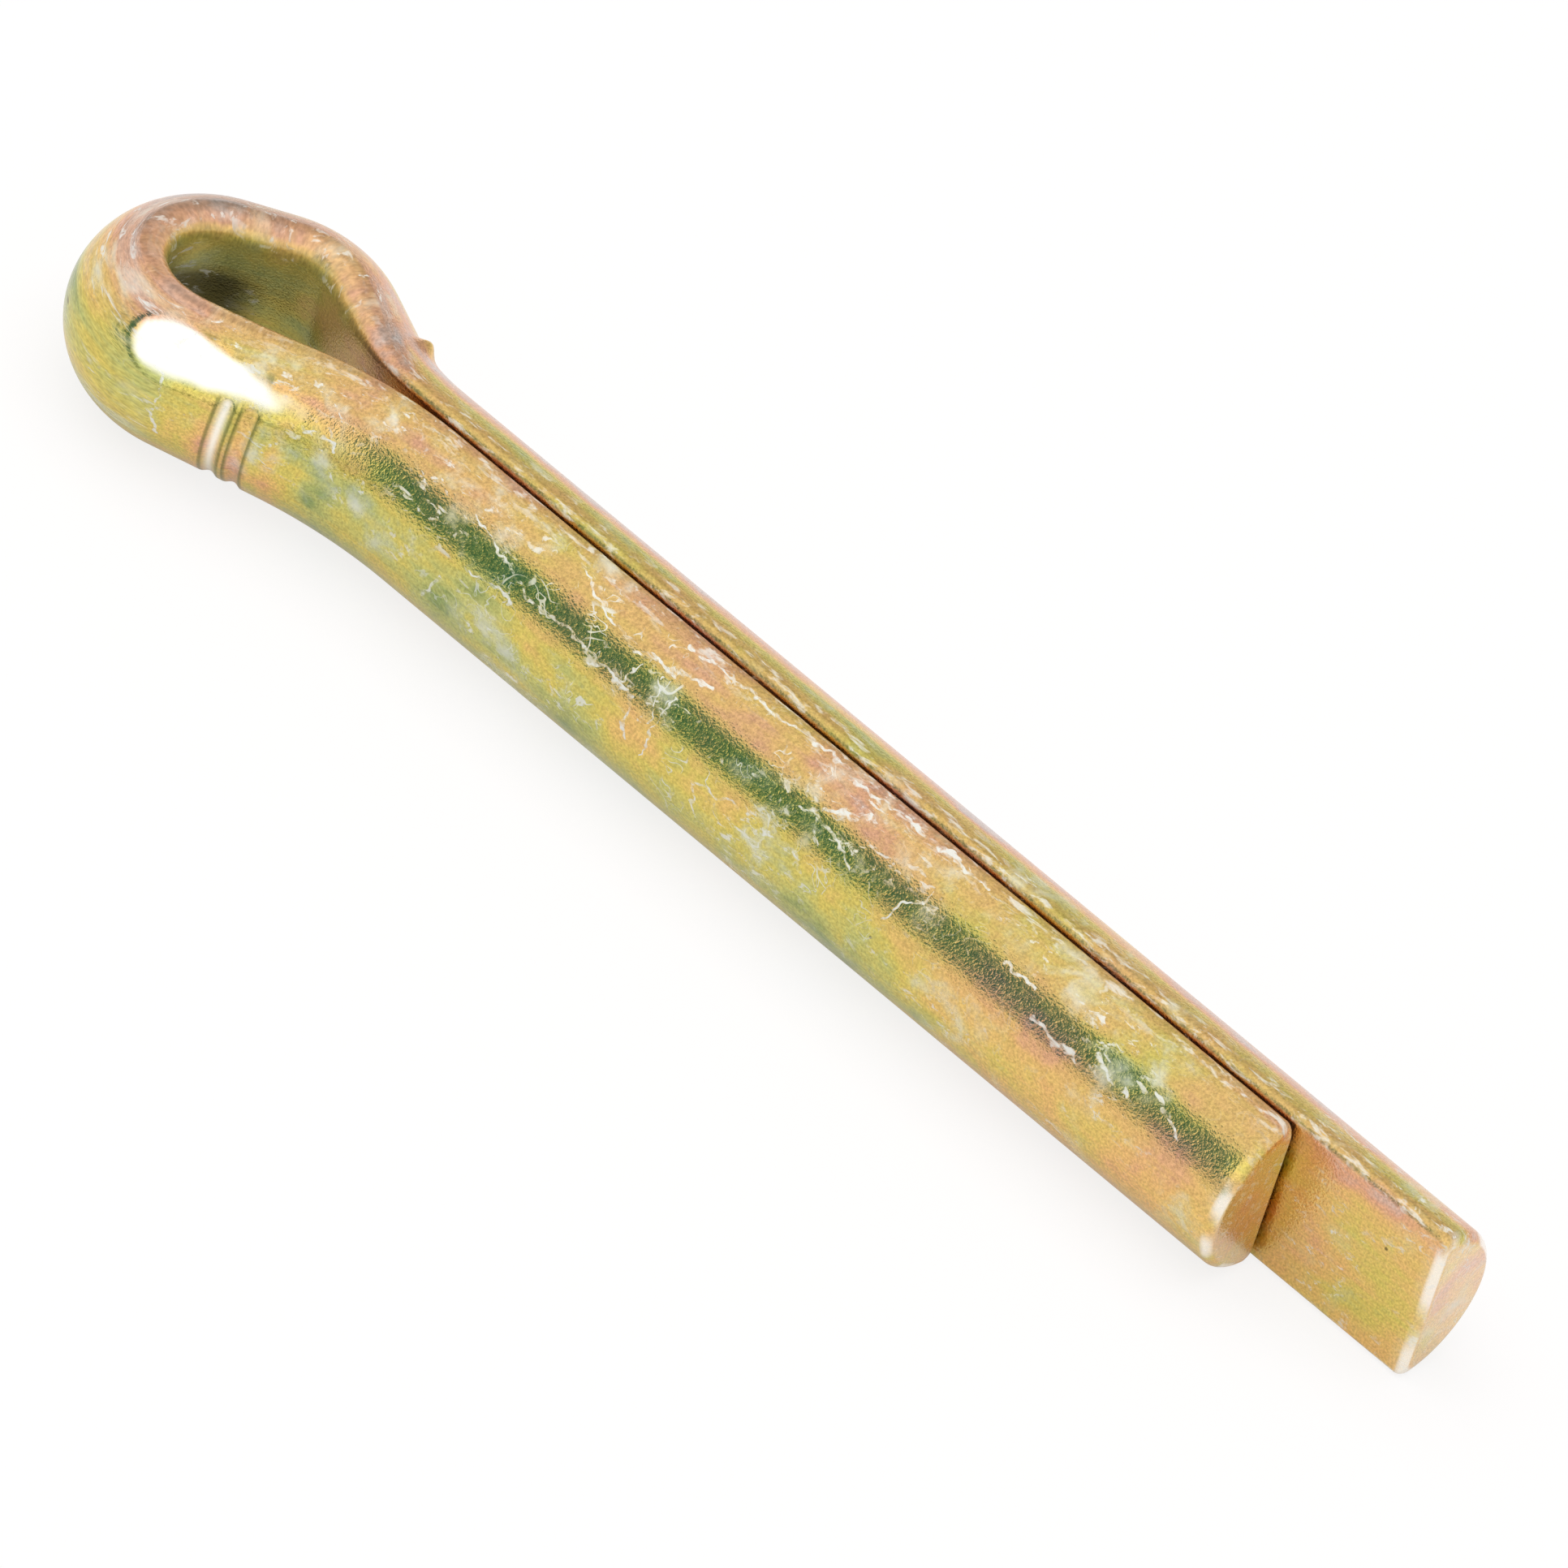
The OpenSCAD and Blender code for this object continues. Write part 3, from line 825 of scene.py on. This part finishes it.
    def rubbed(self):
        """Where edges and tips are rubbed pale."""
        edges = smoothstep(*RUB_FLANK, np.abs(self.degrees)) * (self.out > RUB_OFF_FLAT)
        edges = edges * (1 - RUB_EYE_LESS * self.round_eye)
        return np.maximum(edges, TIP_RUB * smoothstep(*TIP_RUB_REACH, self.to_tip))

    def bare_metal_and_highlight(self):
        """Where metal shows bright: bare on the pressed flat, partly a painted highlight, painted highlights in the
        die marks, bare spots round the tips that are partly painted glints, and thinly on their ends.
        """
        wear_and_highlight = noise_at((self.out, self.up, self.along), TIP_CELLS, self.to_tip < TIP_BARE_AND_GLINT_SPAN[-1])
        # Bare spots round the tips, partly painted glints
        tips = TIP_BARE_AND_GLINT * smoothstep(*TIP_BARE_AND_GLINT_BREAKS, wear_and_highlight) * plateau(self.to_tip, *TIP_BARE_AND_GLINT_SPAN)
        ends = END_BARE * smoothstep(*END_BARE_SKIN, self.to_tip)
        return np.maximum.reduce([self.pressed, tips, ends])

    def linty(self):
        """Where hairlines gather: on the upper flank of the near prong, and a few everywhere."""
        gathered = bell(self.along - LINT_AT, LINT_REACH) * plateau(self.degrees, *LINT_FLANK)
        return np.maximum(gathered, LINT_LEAST) * self.rounded

    def store(self):
        """Writes the points and the material's attributes to the mesh, and shades its ends flat."""
        mesh = self.mesh
        mesh.vertices.foreach_set("co", (self.co * MM).astype(np.float32).ravel())
        off_skin = np.where(self.rounded, 0, OFF_SKIN)
        for name, data in (
            ("unbent", np.column_stack([self.along, self.out, self.up])),
            ("skin", np.column_stack([self.along, self.turn * SKIN_R, off_skin])),
        ):
            field = mesh.attributes.new(name, "FLOAT_VECTOR", "POINT")
            field.data.foreach_set("vector", data.astype(np.float32).ravel())
        for name, data in (
            ("film_lean", self.film_lean()),
            ("rub", self.rubbed()),
            ("pressed", self.bare_metal_and_highlight()),
            ("groove", self.groove),
            ("linty", self.linty()),
            ("recess", self.eye_shade_and_dark_rim()),
            ("matt", self.inner * smoothstep(*MATT_HEIGHT, self.up)),
        ):
            mesh.attributes.new(name, "FLOAT", "POINT").data.foreach_set("value", data.astype(np.float32))
        for face in mesh.polygons:
            face.use_smooth = face.loop_total == QUAD
        for name in ("along", "soft_out", "soft_up"):
            mesh.attributes.remove(mesh.attributes[name])
        mesh.update()


class COTTERPIN_OT_fold_wire(bpy.types.Operator):
    """Sweep the half-round wire along its bending plan and press in the forming marks"""

    bl_idname = "cotterpin.fold_wire"
    bl_label = "Fold Wire"

    def execute(self, context):
        w = in_mm(context.scene.cotter_wire)
        plan = Bends(w)
        outline = half_round(plan.shank_r, plan.half_gap, w["edge_r"])
        soften = half_round(plan.shank_r, plan.half_gap, w["eye_edge_r"]) - outline
        centre = outline[:, 0].max() / 2 - CENTRE_OFF
        half_h = outline[:, 1].max()
        section = line_mesh(
            "half_round",
            [((centre - x) * MM, -y * MM, 0) for x, y in outline],
            True,
            soft_out=soften[:, 0],
            soft_up=soften[:, 1],
        )
        section = put("half_round", section)
        along = plan.rings(w["tip_r"])
        p, _, n = plan.frame_at(along)
        line = [(x * MM, y * MM, half_h * MM) for x, y in p + centre * n]
        piece = as_mesh(
            "cotter_pin_wire",
            line_mesh("middle_line", line, False, along=along),
            sweep_tree(),
            {
                "Section": section,
                "Tip Rounding": w["tip_r"] * MM,
                "Half Width": TIP_HALF_W * MM,
                "Material": chromate(context.scene.cotter_film),
            },
        )
        bpy.data.objects.remove(section)
        skin = Skin(piece.data, plan, w, half_h)
        skin.round_edges()
        skin.press_die_marks()
        skin.press_flat()
        skin.raise_nub()
        skin.store()
        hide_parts("cotter_pin")
        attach(piece, "root")
        return {"FINISHED"}


class COTTERPIN_OT_set_stage(bpy.types.Operator):
    """Lay a pale floor, hang the lamp and cards and set the camera"""

    bl_idname = "cotterpin.set_stage"
    bl_label = "Set Stage"

    def execute(self, context):
        scene = context.scene
        scene.view_settings.view_transform = "Standard"
        self.floor()
        self.room(scene)
        self.lamp(scene.cotter_stage)
        self.cards()
        self.camera(scene, scene.cotter_stage)
        return {"FINISHED"}

    def floor(self):
        """A table top painted matt white, which shows the pin's soft shadow and no reflection of it."""
        mesh = bpy.data.meshes.new("floor")
        r = FLOOR_HALF
        mesh.from_pydata([(-r, -r, 0), (r, -r, 0), (r, r, 0), (-r, r, 0)], [], [(0, 1, 2, 3)])
        floor = put("floor", mesh)
        mat = bpy.data.materials.new("matt_white_table")
        tree = empty_tree(mat)
        # Reflections show the table's own shade more than the camera does, so the eye's inside stays dark
        seen = add(tree, "ShaderNodeLightPath").outputs
        mirrored = add(
            tree, "ShaderNodeMath", {0: seen["Is Glossy Ray"], 1: seen["Is Transmission Ray"]}, operation="MAXIMUM"
        )
        mirrored = add(tree, "ShaderNodeMath", {0: mirrored, 1: FLOOR_GLOSS}, operation="MULTIPLY")
        share = add(
            tree, "ShaderNodeMath", {0: seen["Is Camera Ray"], 1: FLOOR_SEEN, 2: mirrored}, operation="MULTIPLY_ADD"
        )
        paint = add(tree, "ShaderNodeBsdfDiffuse", {"Color": linear(FLOOR_PAINT)})
        glow = add(tree, "ShaderNodeEmission", {"Color": (1, 1, 1, 1), "Strength": 1.0})
        surface = add(tree, "ShaderNodeMixShader", {0: share, 1: paint, 2: glow})
        add(tree, "ShaderNodeOutputMaterial", {"Surface": surface})
        mesh.materials.append(mat)

    def room(self, scene):
        """A white room, which lights less than it shows."""
        scene.world = bpy.data.worlds.new("white_room")
        tree = empty_tree(scene.world)
        seen = add(tree, "ShaderNodeLightPath").outputs
        shown = seen["Is Camera Ray"]
        for ray in ("Is Glossy Ray", "Is Transmission Ray"):
            shown = add(tree, "ShaderNodeMath", {0: shown, 1: seen[ray]}, operation="MAXIMUM")
        level = add(tree, "ShaderNodeMapRange", {"Value": shown, LOW: ROOM_LIGHT, HIGH: 1.0})
        back = add(tree, "ShaderNodeBackground", {"Color": (1, 1, 1, 1), "Strength": level})
        add(tree, "ShaderNodeOutputWorld", {"Surface": back})

    def lamp(self, look):
        """A wide soft lamp overhead, which gloss doesn't show."""
        light = bpy.data.lights.new("overhead", "AREA")
        light.shape = "RECTANGLE"
        light.size, light.size_y = LAMP_SIZE
        light.energy = look.key_power
        lamp = put("overhead", light)
        lamp.location = LAMP_AT
        lamp.visible_camera = lamp.visible_glossy = False

    def cards(self):
        """Cards beside the pin, as a photographer's flags, which show only in its gloss."""
        for name, y, left, right, low, high, code, strength in CARDS:
            corners = [(left, y, low), (right, y, low), (right, y, high), (left, y, high)]
            mesh = bpy.data.meshes.new(name)
            mesh.from_pydata(corners, [], [(0, 1, 2, 3)])
            card = put(name, mesh)
            mat = bpy.data.materials.new(name)
            tree = empty_tree(mat)
            glow = add(tree, "ShaderNodeEmission", {"Color": linear(code), "Strength": strength})
            add(tree, "ShaderNodeOutputMaterial", {"Surface": glow})
            mesh.materials.append(mat)
            card.visible_camera = card.visible_diffuse = card.visible_shadow = False

    def camera(self, scene, look):
        """A long lens at the photograph's angle."""
        toward = Vector(VIEW_FROM).normalized()
        upward = toward.cross(Vector(VIEW_RIGHT).normalized()).normalized()
        across = upward.cross(toward).normalized()
        data = bpy.data.cameras.new("camera")
        data.lens = look.lens
        data.sensor_width = SENSOR_W
        distance = look.width * look.lens / data.sensor_width
        place = Matrix((across, upward, toward)).transposed().to_4x4()
        place.translation = Vector(VIEW_AIM) * MM + toward * distance
        camera = put("camera", data)
        camera.matrix_world = place
        scene.camera = camera


class VIEW3D_PT_cotter_pin(bpy.types.Panel):
    """Cotter pin tools"""

    bl_label = "Cotter Pin"
    bl_space_type = "VIEW_3D"
    bl_region_type = "UI"
    bl_category = TAB

    def draw(self, context):
        for group in (context.scene.cotter_wire, context.scene.cotter_film, context.scene.cotter_stage):
            box = self.layout.box()
            for name in group.__annotations__:
                box.prop(group, name)
        self.layout.operator(COTTERPIN_OT_fold_wire.bl_idname)
        self.layout.operator(COTTERPIN_OT_set_stage.bl_idname)


CLASSES = (
    WireSizes,
    FilmColours,
    StageLook,
    COTTERPIN_OT_fold_wire,
    COTTERPIN_OT_set_stage,
    VIEW3D_PT_cotter_pin,
)


def register():
    for cls in CLASSES:
        bpy.utils.register_class(cls)
    bpy.types.Scene.cotter_wire = PointerProperty(type=WireSizes)
    bpy.types.Scene.cotter_film = PointerProperty(type=FilmColours)
    bpy.types.Scene.cotter_stage = PointerProperty(type=StageLook)


def unregister():
    del bpy.types.Scene.cotter_stage
    del bpy.types.Scene.cotter_film
    del bpy.types.Scene.cotter_wire
    for cls in reversed(CLASSES):
        bpy.utils.unregister_class(cls)


def main():
    register()
    bpy.ops.cotterpin.fold_wire()
    bpy.ops.cotterpin.set_stage()


if __name__ == "__main__":
    main()
